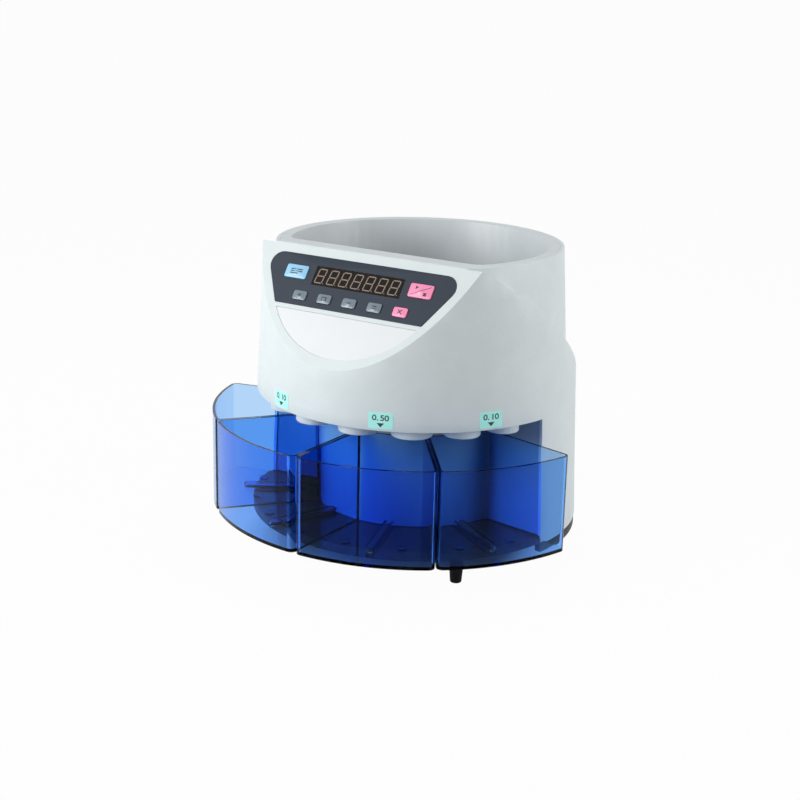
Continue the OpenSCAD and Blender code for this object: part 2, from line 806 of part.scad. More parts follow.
module sorting_deck() {
    seat_d = spindle_d + 2 * bearing_wall;
    color("silver") at_axis() difference() {
        union() {
            translate([0, 0, deck_z]) linear_extrude(deck_t) deck_plan(0);
            translate([0, 0, hub_z]) cylinder(r = hub_r, h = hub_h + deck_t / 2);
            for (s = [-1, 1]) translate([s * deck_leg_place[0], deck_leg_place[1], base_top_z])
                cylinder(r = deck_leg_r, h = deck_z - base_top_z + deck_t / 2);
        }
        for (k = [1:chute_count]) at_chute(k) translate([0, 0, deck_z - cut])
            cylinder(d = chute_d(k) - 2 * chute_wall, h = deck_t + 2 * cut);
        translate([0, 0, hub_z - cut]) cylinder(d = seat_d - 2 * hub_ledge, h = far);
        translate([0, 0, hub_z - cut]) cylinder(d = seat_d + 2 * shaft_gap, h = bearing_h + cut);
        translate([0, 0, deck_top_z - bearing_h]) cylinder(d = seat_d + 2 * shaft_gap, h = bearing_h + cut);
        for (a = deck_screw_angles) polar(a, deck_screw_r) {
            translate([0, 0, deck_z - cut]) cylinder(d = screw_m3[0] + 2 * shaft_gap, h = far);
            translate([0, 0, deck_top_z - screw_m3[2]]) cylinder(d = screw_m3[1] + 2 * shaft_gap, h = far);
        }
    }
}

module sorting_ring() {
    slot_outer = chute_out_r - chute_wall - disc_edge;
    color("silver") at_axis() translate([0, 0, deck_top_z]) linear_extrude(ring_t) difference() {
        deck_plan(seat_gap);
        circle(disc_r + move_gap);
        for (k = [1:chute_count]) {
            w = slot_large - (slot_large - slot_small) * (k - 1) / (chute_count - 1);
            rotate([0, 0, chute_angles[k - 1]]) translate([-slot_len / 2, -slot_outer]) square([slot_len, w]);
        }
    }
}

// One box inside each chute, grown by a clearance for the cuts that let it pass
module sensor_boxes(grow) {
    for (k = [1:chute_count]) polar(chute_angles[k - 1], chute_out_r - chute_d(k) - seat_gap)
        translate([-sensor_size[0] / 2 - grow, -grow, deck_z - sensor_size[2] - grow])
            cube(sensor_size + 2 * grow * [1, 1, 1]);
}
module coin_sensors() {
    color("black") at_axis() sensor_boxes(0);
}

module sorting_disc() {
    color("dimgray") at_axis() {
        bore = spindle_d / 2 + shaft_gap;
        rotate_extrude() polygon([[bore, disc_z], [disc_r, disc_z], [disc_r, disc_top_z], [dome_r, disc_top_z],
                                  [dome_r / 2, disc_top_z + dome_h], [bore, disc_top_z + dome_h]]);
        for (a = [0:45:359]) rotate([0, 0, a])
            translate([-flight_t / 2, dome_r - flight_root, disc_top_z - disc_t / 4])
                cube([flight_t, disc_r - dome_r, flight_h + disc_t / 4]);
    }
}
module disc_spindle() {
    low_z = gear_z - spindle_tail;
    color("silver") at_axis() translate([0, 0, low_z])
        cylinder(d = spindle_d, h = disc_top_z + dome_h + nut_h - nut_cap_h - low_z);
}
module disc_cap_nut() {
    color("silver") at_axis() translate([0, 0, disc_top_z + dome_h]) difference() {
        union() {
            cylinder(r = nut_r, h = nut_h - nut_cap_h, $fn = 6);
            intersection() {
                cylinder(r = nut_dome_r, h = nut_h);
                translate([0, 0, nut_h - nut_dome_round]) sphere(nut_dome_round);
            }
        }
        translate([0, 0, -cut]) cylinder(d = spindle_d + 2 * shaft_gap, h = nut_h - nut_cap_h + 2 * cut);
    }
}
module spindle_bearing(z) {
    color("goldenrod") at_axis() translate([0, 0, z]) difference() {
        cylinder(d = spindle_d + 2 * bearing_wall, h = bearing_h);
        translate([0, 0, -cut]) cylinder(d = spindle_d + 2 * shaft_gap, h = bearing_h + 2 * cut);
    }
}

// A spur gear with straight flanks, a tooth centred on the front
module spur_gear(teeth, t, bore_d) {
    pitch_r = gear_module * teeth / 2;
    flank = gear_module * tan(20);
    half_mid = gear_module * PI * 0.21;
    rows = [[pitch_r - 1.25 * gear_module, half_mid + 1.25 * flank],
            [pitch_r + 0.85 * gear_module, half_mid - 0.85 * flank]];
    linear_extrude(t) difference() {
        polygon([for (i = [0:teeth - 1], p = [[0, -1], [1, -1], [1, 1], [0, 1]])
            let (row = rows[p[0]], a = 360 * i / teeth - 90 + p[1] * row[1] / row[0] * 180 / PI)
            row[0] * [cos(a), sin(a)]]);
        circle(d = bore_d);
    }
}
module drive_gear() {
    color("ivory") at_axis() translate([0, 0, gear_z])
        spur_gear(gear_teeth, gear_t, spindle_d + 2 * shaft_gap);
}
// Turned so that a gap meets a tooth of the large gear, or a tooth one of its gaps
module motor_pinion() {
    turn = gear_teeth % 2 == 0 ? 180 / pinion_teeth : 0;
    color("ivory") at_axis() translate([0, motor_y, gear_z]) rotate([0, 0, turn])
        spur_gear(pinion_teeth, gear_t, motor_shaft_d + 2 * shaft_gap);
}
module motor_shaft() {
    low_z = motor_top_z - shaft_depth;
    color("silver") at_axis() translate([0, motor_y, low_z])
        cylinder(d = motor_shaft_d, h = gear_z + gear_t + shaft_tip - low_z);
}
module drive_motor() {
    color("silver") at_axis() translate([0, motor_y, motor_top_z - motor_h]) difference() {
        union() {
            cylinder(d = motor_d, h = motor_h);
            translate([0, 0, -motor_end_h]) cylinder(d = motor_end_d, h = motor_end_h + cut);
            cylinder(r = motor_boss_r, h = motor_h + motor_boss_h);
        }
        translate([0, 0, motor_h - shaft_depth - cut]) cylinder(d = motor_shaft_d + 2 * shaft_gap, h = far);
        for (s = [-1, 1]) translate([s * motor_screw_x, 0, motor_h - motor_screw_depth])
            cylinder(d = screw_m3[0] + 2 * shaft_gap, h = far);
    }
}
module motor_plate() {
    color("silver") at_axis() difference() {
        union() {
            translate([0, motor_y + (motor_post_y[0] + motor_post_y[1]) / 2, motor_top_z])
                block([2 * (motor_post_x + motor_plate_edge),
                       motor_post_y[1] - motor_post_y[0] + 2 * motor_plate_edge, plate_t]);
            for (s = [-1, 1], y = motor_post_y) translate([s * motor_post_x, motor_y + y, motor_top_z])
                cylinder(r = motor_post_r, h = deck_z - motor_top_z);
        }
        translate([0, motor_y, motor_top_z - cut])
            cylinder(r = motor_boss_r + shaft_gap, h = plate_t + 2 * cut);
        for (s = [-1, 1]) translate([s * motor_screw_x, motor_y, motor_top_z - cut])
            cylinder(d = screw_m3[0] + 2 * shaft_gap, h = plate_t + 2 * cut);
    }
}
module motor_screws() {
    color("gray") at_axis() for (s = [-1, 1])
        translate([s * motor_screw_x, motor_y, plate_top_z + screw_m3[2]]) rotate([180, 0, 0])
            screw_up(screw_m3, plate_t + motor_screw_depth - cut);
}

module rear_plate() {
    color("dimgray") at_axis() difference() {
        translate([-rear_w / 2 + seat_gap, rear_plate_y, rear_z - rear_h / 2 + seat_gap])
            cube([rear_w - 2 * seat_gap, rear_plate_t, rear_h - 2 * seat_gap]);
        rear_hole(inlet_x, inlet_size);
        rear_hole(switch_x, switch_body);
        for (s = [-1, 1]) translate([s * (rear_w - rear_seat_w) / 2, rear_plate_y - cut, rear_z])
            rotate([-90, 0, 0]) cylinder(d = screw_m3[0] + 2 * shaft_gap, h = rear_plate_t + 2 * cut);
    }
}
module rear_hole(x, size) {
    translate([x - size[0] / 2 - seat_gap, rear_plate_y - cut, rear_z - size[1] / 2 - seat_gap])
        cube([size[0] + 2 * seat_gap, rear_plate_t + 2 * cut, size[1] + 2 * seat_gap]);
}
// A flange outside the rear plate and a body through it
module rear_insert(x, size, flange, flange_h, depth) {
    translate([x - size[0] / 2 - flange, rear_face_y, rear_z - size[1] / 2 - flange])
        cube([size[0] + 2 * flange, flange_h, size[1] + 2 * flange]);
    translate([x - size[0] / 2, rear_face_y - depth, rear_z - size[1] / 2])
        cube([size[0], depth + flange_h / 2, size[1]]);
}
module power_inlet() {
    x = inlet_mouth[0] / 2;
    y = inlet_mouth[1] / 2;
    c = inlet_chamfer;
    back_y = rear_face_y - inlet_depth;
    color("black") at_axis() {
        difference() {
            rear_insert(inlet_x, inlet_size, inlet_flange, inlet_flange, inlet_depth + inlet_back);
            translate([inlet_x, back_y, rear_z]) rotate([-90, 0, 0]) linear_extrude(far)
                polygon([[-x, c - y], [c - x, -y], [x - c, -y], [x, c - y], [x, y], [-x, y]]);
        }
        for (p = pin_places)
            translate([inlet_x + p[0] - pin_size[0] / 2, back_y - cut, rear_z + p[1] - pin_size[2] / 2])
                cube(pin_size);
    }
}
module switch_bezel() {
    pocket = rocker_size + rocker_room;
    color("black") at_axis() difference() {
        rear_insert(switch_x, switch_body, switch_flange, switch_flange, switch_depth);
        translate([switch_x - pocket[0] / 2, rear_face_y - rocker_pocket, rear_z - pocket[1] / 2])
            cube([pocket[0], far, pocket[1]]);
    }
}
// The rocker rests tilted to its off side and turns about a level axle
module power_switch() {
    tip = rocker_size[1] / 2;
    color("firebrick") at_axis() translate([switch_x, rear_face_y - rocker_axle_depth, rear_z])
        rotate([-rocker_tilt, 0, 0]) {
            rotate([90, 0, 90]) linear_extrude(rocker_size[0], center = true)
                polygon([[-rocker_back[0], -rocker_back[1]], [-rocker_back[0], rocker_back[1]],
                         [rocker_tips[0], tip], [rocker_tips[1], 0], [rocker_tips[0], -tip]]);
            rotate([0, 90, 0]) cylinder(d = axle_d, h = rocker_size[0] + 2 * axle_end, center = true);
        }
}

module transformer() {
    x = core_size[0];
    y = core_size[1];
    foot = [x + 2 * core_foot[0], y - 2 * core_foot[1], core_foot[2]];
    coil = [x - 2 * coil_inset[0], y + 2 * coil_inset[1], core_size[2] - 2 * coil_inset[2]];
    color("dimgray") at_axis() translate([transformer_place[0], transformer_place[1], base_top_z]) {
        block(foot);
        block(core_size);
        block(coil, coil_inset[2]);
    }
}
module power_board() {
    post = power_size / 2 - [power_post_in, power_post_in];
    color("darkgreen") at_axis() translate([power_place[0], power_place[1], base_top_z]) {
        for (x = [-1, 1], y = [-1, 1]) translate([x * post[0], y * post[1], 0])
            cylinder(d = power_post_d, h = power_post_h + board_t / 2);
        block([power_size[0], power_size[1], board_t], power_post_h);
        for (p = can_places) translate([p[0], p[1], power_post_h]) cylinder(d = can_size[0], h = can_size[1]);
        translate([sink_place[0], sink_place[1], power_post_h]) cube(sink_size);
    }
}

module foot_screws() {
    color("silver") at_axis() for (a = foot_angles) polar(a, foot_place_r)
        translate([0, 0, foot_h / 2 - screw_m4[2]])
            screw_up(screw_m4, foot_h / 2 + base_h - foot_roof - 2 * cut);
}
module housing_screws() {
    color("silver") at_axis() for (a = housing_screw_angles) polar(a, housing_screw_r)
        translate([0, 0, base_top_z - base_t - screw_m4[2]]) screw_up(screw_m4, base_t + housing_screw_end);
}
module deck_screws() {
    color("gray") at_axis() for (a = deck_screw_angles) polar(a, deck_screw_r)
        translate([0, 0, deck_top_z]) rotate([180, 0, 0]) screw_up(screw_m3, deck_t + deck_screw_end);
}
module rear_plate_screws() {
    color("silver") at_axis() for (s = [-1, 1])
        translate([s * (rear_w - rear_seat_w) / 2, rear_face_y + screw_m3[2], rear_z]) rotate([90, 0, 0])
            screw_up(screw_m3, rear_plate_t + rear_seat_t);
}

main_housing();
hopper_bowl();
center_column();
base_plate();
for (k = [1:drawer_count]) coin_drawer(k);
for (k = [1:chute_count]) coin_chute(k);
for (k = [1:len(foot_angles)]) rubber_foot(k);
panel_overlay();
display_window();
name_plate();
for (i = [0:len(KEY_NAMES) - 1]) panel_key(i);
control_board();
display_module();
key_switches();
board_screws();
sorting_deck();
sorting_ring();
coin_sensors();
sorting_disc();
disc_spindle();
disc_cap_nut();
spindle_bearing(deck_top_z - bearing_h);  // spindle_bearing_upper
spindle_bearing(hub_z);  // spindle_bearing_lower
drive_gear();
motor_pinion();
motor_shaft();
drive_motor();
motor_plate();
motor_screws();
rear_plate();
power_inlet();
switch_bezel();
power_switch();
transformer();
power_board();
foot_screws();
housing_screws();
deck_screws();
rear_plate_screws();
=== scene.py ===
"""Looks of the counter-top coin sorter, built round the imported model. Sizes are in metres."""
import json
import math

import bmesh
import bpy
from mathutils import Matrix, Vector


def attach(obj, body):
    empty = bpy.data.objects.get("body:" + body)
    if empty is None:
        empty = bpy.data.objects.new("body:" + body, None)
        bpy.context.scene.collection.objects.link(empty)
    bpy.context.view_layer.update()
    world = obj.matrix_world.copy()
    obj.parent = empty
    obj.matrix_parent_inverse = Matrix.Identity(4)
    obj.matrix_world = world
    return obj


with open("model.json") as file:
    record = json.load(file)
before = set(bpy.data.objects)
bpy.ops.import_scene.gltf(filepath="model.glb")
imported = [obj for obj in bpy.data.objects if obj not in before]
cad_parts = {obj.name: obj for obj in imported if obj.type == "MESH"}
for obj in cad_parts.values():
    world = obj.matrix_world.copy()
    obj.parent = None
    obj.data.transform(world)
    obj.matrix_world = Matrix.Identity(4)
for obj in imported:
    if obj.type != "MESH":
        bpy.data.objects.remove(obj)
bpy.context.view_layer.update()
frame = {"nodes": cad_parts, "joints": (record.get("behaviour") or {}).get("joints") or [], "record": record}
nodes = frame["nodes"]
slot_of = {row["node"]: row["material_slot"] for row in frame["record"]["subparts"]}
joints = {joint["name"]: joint for joint in frame["joints"]}
scene = bpy.context.scene
MM = 0.001

# Places that the part's source gives: the machine's axis, the housing's cone, the panel and its keys
AXIS_Y = joints["disc_spin"]["pos_m"][1]
BODY_R = 142.8 * MM
BODY_LOW_Z = 142 * MM
BODY_DRAFT = 0.042
RIM_Z = 273.5 * MM
RIDGE_FRONT = 81 * MM
PANEL_LEAN = math.radians(34.6)
KEY_PROUD = 1.2 * MM
KEY_LARGE = (22.2 * MM, 12 * MM)
KEY_SMALL = (13.4 * MM, 8.2 * MM)
KEY_LARGE_U = 62.7 * MM
KEY_LARGE_V = 25.3 * MM
KEY_SMALL_V = 46 * MM
KEY_PITCH = 25.3 * MM
KEY_CORNER = 1.6 * MM
WINDOW_V = 25.8 * MM

# Directions of the panel: down its face and out of it
PANEL_DOWN = Vector((0, -math.sin(PANEL_LEAN), -math.cos(PANEL_LEAN)))
PANEL_OUT = Vector((0, -math.cos(PANEL_LEAN), math.sin(PANEL_LEAN)))
PANEL_TOP = Vector((0, AXIS_Y - RIDGE_FRONT, RIM_Z))


def on_panel(u, v, height):
    """A point of the panel: u to the right, v down from the ridge, height out of its face."""
    return PANEL_TOP + Vector((u, 0, 0)) + PANEL_DOWN * v + PANEL_OUT * height


def on_window(x, y, height):
    """A point of the display's window: x to the right and y up from its middle, height out of its face."""
    return on_panel(x, WINDOW_V - y, height)


def on_housing(angle, z, height):
    """A point of the housing's round front: angle to the right of the middle, z above the table."""
    r = BODY_R + BODY_DRAFT * (BODY_LOW_Z - z) + height
    return Vector((r * math.sin(angle), AXIS_Y - r * math.cos(angle), z))


def in_scene(name, data):
    """A new object that is linked to the scene."""
    made = bpy.data.objects.new(name, data)
    scene.collection.objects.link(made)
    return made


# Materials: noise over the object gives each its tone, gloss and grain
NOISE_LOW = 0.3
NOISE_HIGH = 0.7
NOISE_DETAIL = 3.0
TONE_SCALE = 45
GLOSS_SCALE = 260
GRAIN_DETAIL = 2.0


def start(name):
    """A new node material, with its tree and its main shader."""
    made = bpy.data.materials.new(name)
    made.use_nodes = True
    tree = made.node_tree
    return made, tree, tree.nodes["Principled BSDF"]


def put(node, **values):
    """Gives values to a node's sockets, whose names are written with _ for a space."""
    for key, value in values.items():
        node.inputs[key.replace("_", " ")].default_value = value
    return node


def add(tree, kind, **values):
    """A new node with values for its sockets."""
    return put(tree.nodes.new(kind), **values)


def wire(tree, source, socket):
    """Joins a node's output to another node's input."""
    tree.links.new(source, socket)


def place_of(tree):
    """Place on the object in metres, which moves with its body."""
    return tree.nodes.new("ShaderNodeTexCoord").outputs["Object"]


def noise(tree, scale, detail=NOISE_DETAIL, stretch=None):
    """A noise value over the object; stretch packs it closer along the axes."""
    node = add(tree, "ShaderNodeTexNoise", Scale=scale, Detail=detail)
    source = place_of(tree)
    if stretch:
        mapping = add(tree, "ShaderNodeMapping", Scale=stretch)
        wire(tree, source, mapping.inputs["Vector"])
        source = mapping.outputs["Vector"]
    wire(tree, source, node.inputs["Vector"])
    return node.outputs["Fac"]


def shade_range(tree, value, colour, spread, socket):
    """Colour that goes from a little darker to a little lighter with a noise value."""
    ramp = tree.nodes.new("ShaderNodeValToRGB")
    steps = ((NOISE_LOW, 1 - spread), (NOISE_HIGH, 1 + spread))
    for end, (position, factor) in zip(ramp.color_ramp.elements, steps):
        end.color = [min(1.0, channel * factor) for channel in colour] + [1.0]
        end.position = position
    wire(tree, value, ramp.inputs["Fac"])
    wire(tree, ramp.outputs["Color"], socket)


def number_range(tree, value, low, high, socket):
    """Number that goes from low to high with a noise value."""
    node = add(tree, "ShaderNodeMapRange", From_Min=NOISE_LOW, From_Max=NOISE_HIGH, To_Min=low, To_Max=high)
    wire(tree, value, node.inputs["Value"])
    wire(tree, node.outputs["Result"], socket)


def bump(tree, value, strength, distance, shader):
    """Fine grain in the surface, from a noise value."""
    node = add(tree, "ShaderNodeBump", Strength=strength, Distance=distance)
    wire(tree, value, node.inputs["Height"])
    wire(tree, node.outputs["Normal"], shader.inputs["Normal"])


def blended(tree, share, first, second):
    """A surface that goes from one shader to another by a share."""
    blend = tree.nodes.new("ShaderNodeMixShader")
    wire(tree, share, blend.inputs["Fac"])
    wire(tree, first, blend.inputs[1])
    wire(tree, second, blend.inputs[2])
    wire(tree, blend.outputs["Shader"], tree.nodes["Material Output"].inputs["Surface"])


def plastic(name, colour, rough=0.45, grain=900, depth=0.1 * MM, strength=0.25, mottle=0.03, spread=0.06,
            gloss=0.5):
    """Moulded plastic: eroded grain, a faint cloud of tone and uneven gloss.
    Grain counts its cells in a metre; mottle and spread say how far tone and roughness vary."""
    made, tree, shader = start(name)
    put(shader, Specular_IOR_Level=gloss)
    shade_range(tree, noise(tree, TONE_SCALE), colour, mottle, shader.inputs["Base Color"])
    number_range(tree, noise(tree, GLOSS_SCALE), rough - spread, rough + spread, shader.inputs["Roughness"])
    bump(tree, noise(tree, grain, GRAIN_DETAIL), strength, depth, shader)
    return made


# Clear blue plastic: nearly white faces that mirror little, and a volume that takes out red first
CLEAR_FACE = (0.97, 0.985, 1.0, 1.0)
CLEAR_MIRROR = (0.15, 0.15, 0.15, 1.0)
CLEAR_IOR = 1.4
CLEAR_ROUGH = 0.02
CLEAR_SCALE = 70
CLEAR_BLUE = (0.03, 0.52, 0.945, 1.0)
CLEAR_DENSITY = 300.0


def clear_plastic(name):
    """Clear plastic: the colour comes from the depth of the wall, and lamps shine through it."""
    made, tree, shader = start(name)
    put(shader, Base_Color=CLEAR_FACE, Transmission_Weight=1.0, IOR=CLEAR_IOR, Specular_Tint=CLEAR_MIRROR)
    number_range(tree, noise(tree, CLEAR_SCALE), 0.0, CLEAR_ROUGH, shader.inputs["Roughness"])
    absorb = add(tree, "ShaderNodeVolumeAbsorption", Color=CLEAR_BLUE, Density=CLEAR_DENSITY)
    wire(tree, absorb.outputs["Volume"], tree.nodes["Material Output"].inputs["Volume"])
    path = tree.nodes.new("ShaderNodeLightPath")
    clear = tree.nodes.new("ShaderNodeBsdfTransparent")
    blended(tree, path.outputs["Is Shadow Ray"], shader.outputs["BSDF"], clear.outputs["BSDF"])
    return made


# Metal: drawn lines that run round the upright axis
DRAWN_SCALE = 160
DRAWN_DETAIL = 4.0
DRAWN_SPREAD = 0.08
DRAWN_STRENGTH = 0.08
DRAWN_DEPTH = 0.1 * MM


def metal(name, colour, rough, stretch=(1, 1, 40)):
    """Metal with fine drawn lines, or with an even cloud where all axes are stretched alike."""
    made, tree, shader = start(name)
    put(shader, Metallic=1.0)
    lines = noise(tree, DRAWN_SCALE, DRAWN_DETAIL, stretch)
    shade_range(tree, lines, colour, DRAWN_SPREAD, shader.inputs["Base Color"])
    number_range(tree, lines, rough - DRAWN_SPREAD, rough + DRAWN_SPREAD, shader.inputs["Roughness"])
    bump(tree, lines, DRAWN_STRENGTH, DRAWN_DEPTH, shader)
    return made


# Surfaces that several plastics share
RUBBER = dict(rough=0.62, grain=1400, depth=0.08 * MM, strength=0.3, mottle=0.12, spread=0.08, gloss=0.1)
KEY_FACE = dict(grain=1400, depth=0.03 * MM, strength=0.12)
FILM = dict(grain=1500, depth=0.03 * MM, strength=0.1)
PRINT = dict(grain=1500, depth=0.02 * MM, strength=0.1)

PLASTICS = {
    "housing_grey": dict(colour=(0.66, 0.725, 0.735), rough=0.48, depth=0.4 * MM, strength=0.5, mottle=0.02),
    "rim_grey": dict(colour=(0.60, 0.645, 0.665), rough=0.42, grain=1300, depth=0.12 * MM),
    "column_grey": dict(colour=(0.37, 0.41, 0.42), rough=0.5, grain=1100, strength=0.2, mottle=0.02,
                        gloss=0.2),
    "black_plastic": dict(colour=(0.012, 0.012, 0.013), rough=0.5, grain=1000, strength=0.3, mottle=0.1,
                          gloss=0.2),
    "rubber_black": dict(colour=(0.002, 0.002, 0.003), **RUBBER),
    "disc_rubber": dict(colour=(0.035, 0.035, 0.038), **RUBBER),
    "overlay_slate": dict(colour=(0.030, 0.041, 0.058), rough=0.42, grain=1500, depth=0.03 * MM,
                          strength=0.15, mottle=0.05, gloss=0.2),
    "window_dark": dict(colour=(0.008, 0.006, 0.005), rough=0.25, grain=300, depth=0.02 * MM, strength=0.05,
                        mottle=0.1, gloss=0.15),
    "plate_white": dict(colour=(0.75, 0.775, 0.80), rough=0.35, mottle=0.01, **FILM),
    "label_aqua": dict(colour=(0.44, 0.95, 0.87), rough=0.38, mottle=0.02, **FILM),
    "print_dark": dict(colour=(0.022, 0.026, 0.032), rough=0.5, mottle=0.1, **PRINT),
    "segment_beige": dict(colour=(0.24, 0.18, 0.13), rough=0.4, mottle=0.06, **PRINT),
    "key_blue": dict(colour=(0.28, 0.57, 0.80), rough=0.32, **KEY_FACE),
    "key_grey": dict(colour=(0.17, 0.22, 0.26), rough=0.24, mottle=0.06, **KEY_FACE),
    "key_pink": dict(colour=(0.92, 0.28, 0.48), rough=0.32, **KEY_FACE),
    "board_green": dict(colour=(0.012, 0.075, 0.03), rough=0.35, grain=700, depth=0.05 * MM, strength=0.2,
                        mottle=0.2),
    "gear_nylon": dict(colour=(0.68, 0.65, 0.56), grain=800, depth=0.06 * MM, strength=0.15),
    "switch_red": dict(colour=(0.38, 0.012, 0.010), rough=0.22, grain=1200, depth=0.03 * MM, strength=0.1,
                       mottle=0.05),
}
METALS = {
    "steel": dict(colour=(0.55, 0.55, 0.56), rough=0.3),
    "deck_alloy": dict(colour=(0.62, 0.63, 0.64), rough=0.38, stretch=(1, 1, 1)),
    "bearing_brass": dict(colour=(0.62, 0.42, 0.16), rough=0.35),
}
materials = {name: plastic(name, **look) for name, look in PLASTICS.items()}
materials.update({name: metal(name, **look) for name, look in METALS.items()})
materials["drawer_blue"] = clear_plastic("drawer_blue")

# A node whose look isn't that of its slot
OWN_LOOK = {"center_column": "column_grey"}

# Widths of the rounded edges by slot; the clear drawers keep theirs as they are
EDGE_WIDTH = {
    "housing_grey": 0.9 * MM,
    "rim_grey": 0.7 * MM,
    "rubber_black": 0.8 * MM,
    "overlay_slate": 0.15 * MM,
    "window_dark": 0.1 * MM,
    "plate_white": 0.15 * MM,
    "drawer_blue": 0,
}
PLAIN_EDGE = 0.3 * MM
EDGE_STEPS = 3
EDGE_ANGLE = math.radians(32)
WELD_REACH = 0.01 * MM


def round_edges(node, width):
    """Joins doubled points and rounds sharp edges, by modifiers alone."""
    weld = node.modifiers.new("weld", "WELD")
    weld.merge_threshold = WELD_REACH
    bevel = node.modifiers.new("edge_round", "BEVEL")
    bevel.width = width
    bevel.segments = EDGE_STEPS
    bevel.limit_method = "ANGLE"
    bevel.angle_limit = EDGE_ANGLE
    bevel.harden_normals = True


for name, node in nodes.items():
    slot = slot_of[name]
    node.data.materials.clear()
    node.data.materials.append(materials[OWN_LOOK.get(name, slot)])
    width = EDGE_WIDTH.get(slot, PLAIN_EDGE)
    if width:
        round_edges(node, width)

# Pieces made here: thin films and prints that lie on the carried-over nodes
FILM_SINK = 0.05 * MM
PRINT_SINK = 0.02 * MM
MERGE_REACH = 0.002 * MM


def piece(name, mesh, look, body):
    """A new piece that rides on a body of the frame."""
    mesh.materials.append(materials[look])
    made = in_scene(name, mesh)
    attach(made, body)


def sheet(bm, grid, place, low, high):
    """Adds a thin closed solid that lies on a surface: a grid of places between two heights."""
    rows, columns = len(grid), len(grid[0])
    under, over = [[[bm.verts.new(place(a, b, height)) for a, b in row] for row in grid]
                   for height in (low, high)]
    for i in range(rows - 1):
        for j in range(columns - 1):
            bm.faces.new((over[i][j], over[i][j + 1], over[i + 1][j + 1], over[i + 1][j]))
            bm.faces.new((under[i][j], under[i + 1][j], under[i + 1][j + 1], under[i][j + 1]))
    rim = [(0, j) for j in range(columns)] + [(i, columns - 1) for i in range(1, rows)]
    rim += [(rows - 1, j) for j in range(columns - 2, -1, -1)] + [(i, 0) for i in range(rows - 2, 0, -1)]
    for (i, j), (k, m) in zip(rim, rim[1:] + rim[:1]):
        bm.faces.new((under[i][j], under[k][m], over[k][m], over[i][j]))


def closed_mesh(name, bm):
    """A mesh from what was added, without doubled points or empty faces, facing outwards."""
    bmesh.ops.remove_doubles(bm, verts=bm.verts, dist=MERGE_REACH)
    bmesh.ops.dissolve_degenerate(bm, edges=bm.edges, dist=MERGE_REACH)
    bmesh.ops.recalc_face_normals(bm, faces=bm.faces)
    mesh = bpy.data.meshes.new(name)
    bm.to_mesh(mesh)
    bm.free()
    return mesh


def between(first, last, t):
    """The place that lies a share t of the way from the first to the last."""
    return first[0] + (last[0] - first[0]) * t, first[1] + (last[1] - first[1]) * t


def bar(first, last, width, cells=8, pointed=False):
    """Grid of places along a straight bar, with pointed ends if asked."""
    (x0, y0), (x1, y1) = first, last
    length = math.hypot(x1 - x0, y1 - y0)
    dx, dy = (x1 - x0) / length, (y1 - y0) / length
    half = width / 2
    steps = [(length * i / cells, half) for i in range(cells + 1)]
    if pointed:
        steps = [(0, 0), (half, half), (length - half, half), (length, 0)]
    return [[(x0 + dx * t - side * dy * reach, y0 + dy * t + side * dx * reach) for t, reach in steps]
            for side in (-1, 1)]


def triangle(tip, base_a, base_b, cells=6):
    """Grid of places over a triangle, drawn together at its tip."""
    rows = []
    for i in range(cells + 1):
        first, last = [between(tip, base, i / cells) for base in (base_a, base_b)]
        rows.append([between(first, last, k / cells) for k in range(cells + 1)])
    return rows


# Display: seven unlit figures of seven segments, a hair proud of the window, with a dot after each
DIGITS = 7
DIGIT_PITCH = 12.35 * MM
DIGIT_SHIFT = -0.6 * MM
DIGIT_W = 7.4 * MM
DIGIT_H = 12.6 * MM
DIGIT_SLANT = 0.14
SEGMENT_W = 0.95 * MM
SEGMENT_GAP = 0.12 * MM
SEGMENT_LIFT = 0.02 * MM
DOT_AWAY = 1.6 * MM
DOT_W = 0.8 * MM
DOT_CELLS = 2

# Ends of the segments, in halves of a figure's width and height
SEGMENTS = [((-1, 1), (1, 1)), ((-1, 0), (1, 0)), ((-1, -1), (1, -1)), ((-1, 0), (-1, 1)), ((1, 0), (1, 1)),
            ((-1, -1), (-1, 0)), ((1, -1), (1, 0))]


def display_segments():
    """The figures as one piece."""
    bm = bmesh.new()
    half_w, half_h = DIGIT_W / 2, DIGIT_H / 2
    for digit in range(DIGITS):
        middle = (digit - (DIGITS - 1) / 2) * DIGIT_PITCH + DIGIT_SHIFT
        for ends in SEGMENTS:
            first, last = [(x * half_w, y * half_h) for x, y in ends]
            trim = SEGMENT_GAP / math.hypot(last[0] - first[0], last[1] - first[1])
            trimmed = [between(first, last, t) for t in (trim, 1 - trim)]
            leaning = [(middle + x + y * DIGIT_SLANT, y) for x, y in trimmed]
            sheet(bm, bar(*leaning, SEGMENT_W, pointed=True), on_window, -FILM_SINK, SEGMENT_LIFT)
        dot_x = middle + half_w + DOT_AWAY - half_h * DIGIT_SLANT
        dot = bar((dot_x - DOT_W / 2, -half_h), (dot_x + DOT_W / 2, -half_h), DOT_W, DOT_CELLS)
        sheet(bm, dot, on_window, -FILM_SINK, SEGMENT_LIFT)
    mesh = closed_mesh("display_segments", bm)
    piece("display_segments", mesh, "segment_beige", "machine")


display_segments()

# Keys: a soft cap over each key, with a rounded edge and a round snap dome, and a plain sign printed on it
CAP_EDGE = 0.35 * MM
CAP_RISE = 0.25 * MM
CAP_SINK = 0.5 * MM
CAP_POINTS = 48
ROUND_IN = 0.3
ROUND_UP = 0.7
DOME_RISE = 0.6 * MM
DOME_R = 3.4 * MM
DOME_RINGS = (1.0, 0.85, 0.7, 0.55, 0.4, 0.25, 0.12)
SIGN_LIFT = 0.03 * MM
LEAST = 1e-9


